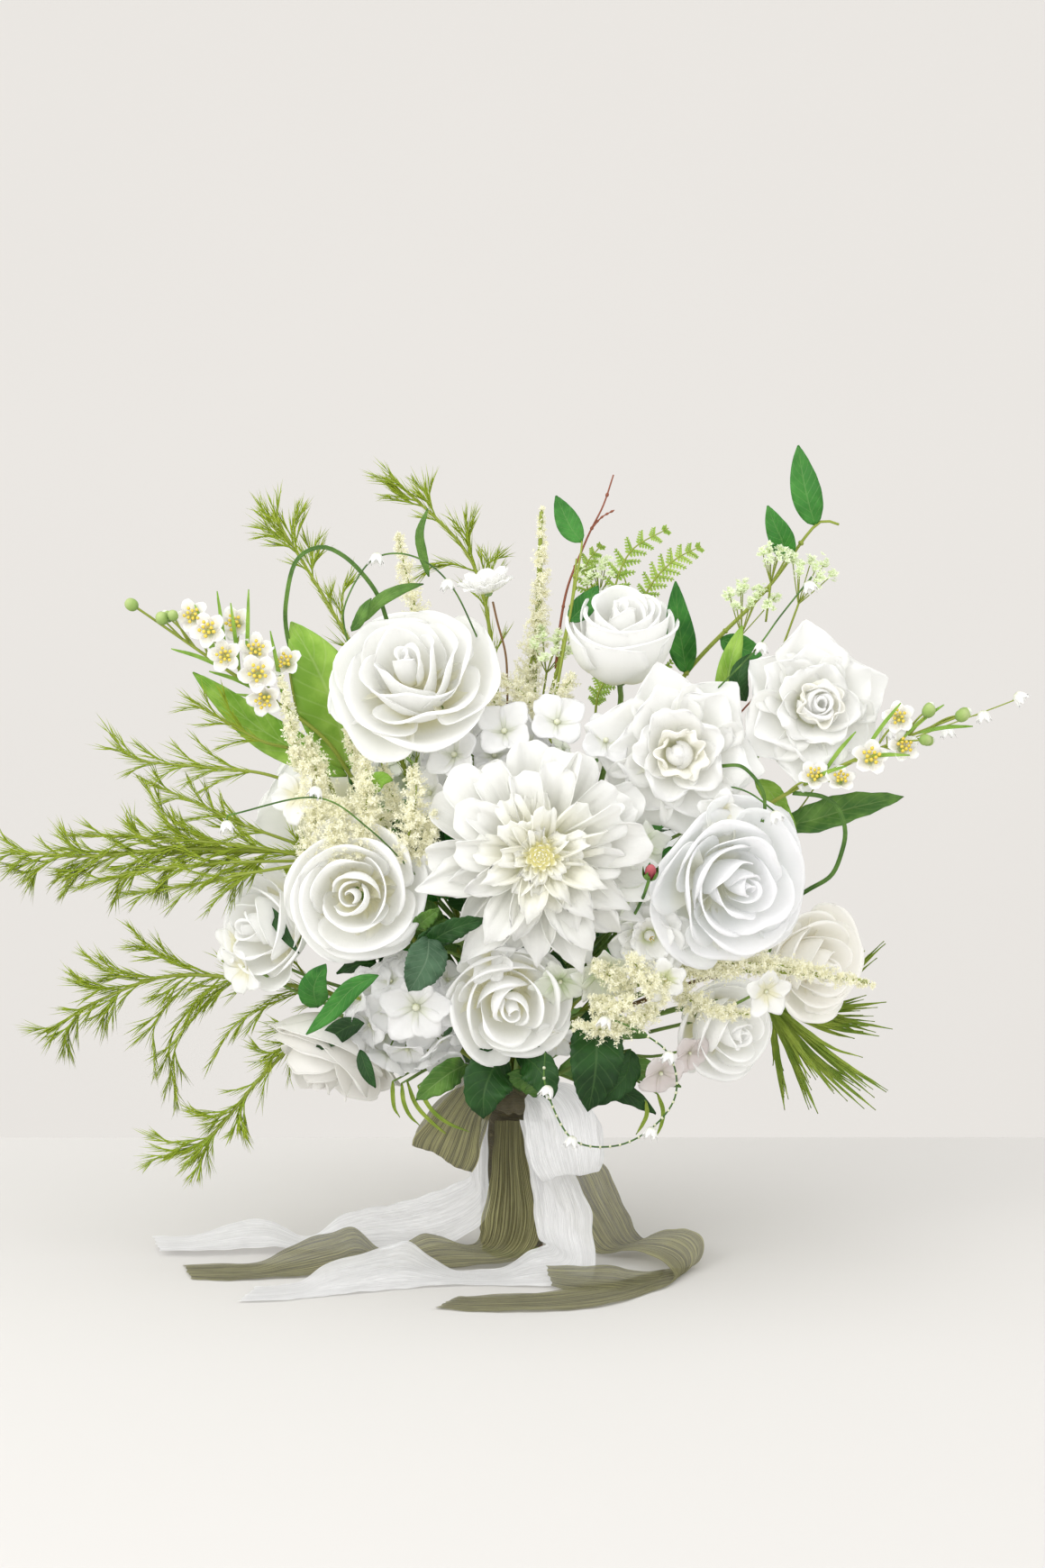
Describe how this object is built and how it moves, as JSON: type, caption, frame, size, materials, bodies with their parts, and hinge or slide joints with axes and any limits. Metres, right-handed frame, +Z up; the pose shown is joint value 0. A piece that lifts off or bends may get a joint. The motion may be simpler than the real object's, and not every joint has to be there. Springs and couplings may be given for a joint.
{
  "type": "bridal bouquet",
  "caption": "Hand-tied bouquet of white flowers, cream plumes and green sprays, with a ribbon-wound stem handle it stands on and trailing ribbon tails.",
  "frame": {"origin": "middle of the cut stem ends, on the surface the bouquet stands on", "axes": "+Z up along the stem handle, +X the wide way of the bunch, the full side of the bunch faces -Y"},
  "size_m": [0.6024, 0.2795, 0.4907],
  "materials": {
    "white_petal": "matte",
    "dahlia_petal": "matte",
    "cream_petal": "matte",
    "hydrangea_petal": "matte",
    "flower_stem": "satin",
    "spray_green": "satin",
    "astilbe_cream": "matte",
    "small_flower": "satin",
    "mid_leaf": "satin",
    "dark_leaf": "satin",
    "floral_tape": "matte",
    "olive_ribbon": "matte",
    "white_ribbon": "matte"
  },
  "bodies": {
    "root": {"dahlia": "dahlia_petal", "dahlia_stem": "flower_stem", "garden_rose_left": "white_petal", "garden_rose_left_stem": "flower_stem", "rose_top": "white_petal", "rose_top_stem": "flower_stem", "rose_left": "white_petal", "rose_left_stem": "flower_stem", "gardenia_centre": "white_petal", "gardenia_centre_stem": "flower_stem", "gardenia_right": "white_petal", "gardenia_right_stem": "flower_stem", "garden_rose_right": "white_petal", "garden_rose_right_stem": "flower_stem", "rose_bottom": "white_petal", "rose_bottom_stem": "flower_stem", "rose_lower_right": "white_petal", "rose_lower_right_stem": "flower_stem", "rose_far_right": "cream_petal", "rose_far_right_stem": "flower_stem", "rose_far_left": "white_petal", "rose_far_left_stem": "flower_stem", "rose_lower_left": "cream_petal", "rose_lower_left_stem": "flower_stem", "hydrangea_lower_left": "hydrangea_petal", "hydrangea_upper": "hydrangea_petal", "rose_back_left": "white_petal", "rose_back_left_stem": "flower_stem", "rose_back_right": "white_petal", "rose_back_right_stem": "flower_stem", "hydrangea_back": "hydrangea_petal", "astilbe_top": "astilbe_cream", "astilbe_left": "astilbe_cream", "astilbe_right": "astilbe_cream", "astilbe_back": "astilbe_cream", "spray_left_upper": "spray_green", "spray_left_middle": "spray_green", "spray_left_lower": "spray_green", "spray_top_left": "spray_green", "spray_top": "spray_green", "spray_back": "spray_green", "ruscus_right": "dark_leaf", "ruscus_top": "dark_leaf", "broad_leaves_left": "mid_leaf", "broad_leaf_right": "mid_leaf", "palm_grass_right": "dark_leaf", "wax_flowers_left": "small_flower", "wax_flowers_right": "small_flower", "freesia_right": "small_flower", "lily_of_the_valley_right": "small_flower", "fern_top_right": "mid_leaf", "floral_tape_binding": "floral_tape", "handle_ribbon_wrap": "olive_ribbon", "bow_knot": "olive_ribbon", "ribbon_tail_olive_left": "olive_ribbon", "ribbon_tail_white_left": "white_ribbon", "ribbon_tail_white_front": "white_ribbon", "ribbon_tail_olive_right": "olive_ribbon", "bow_loop_olive": "olive_ribbon", "bow_loop_white": "white_ribbon"}
  },
  "joints": []
}
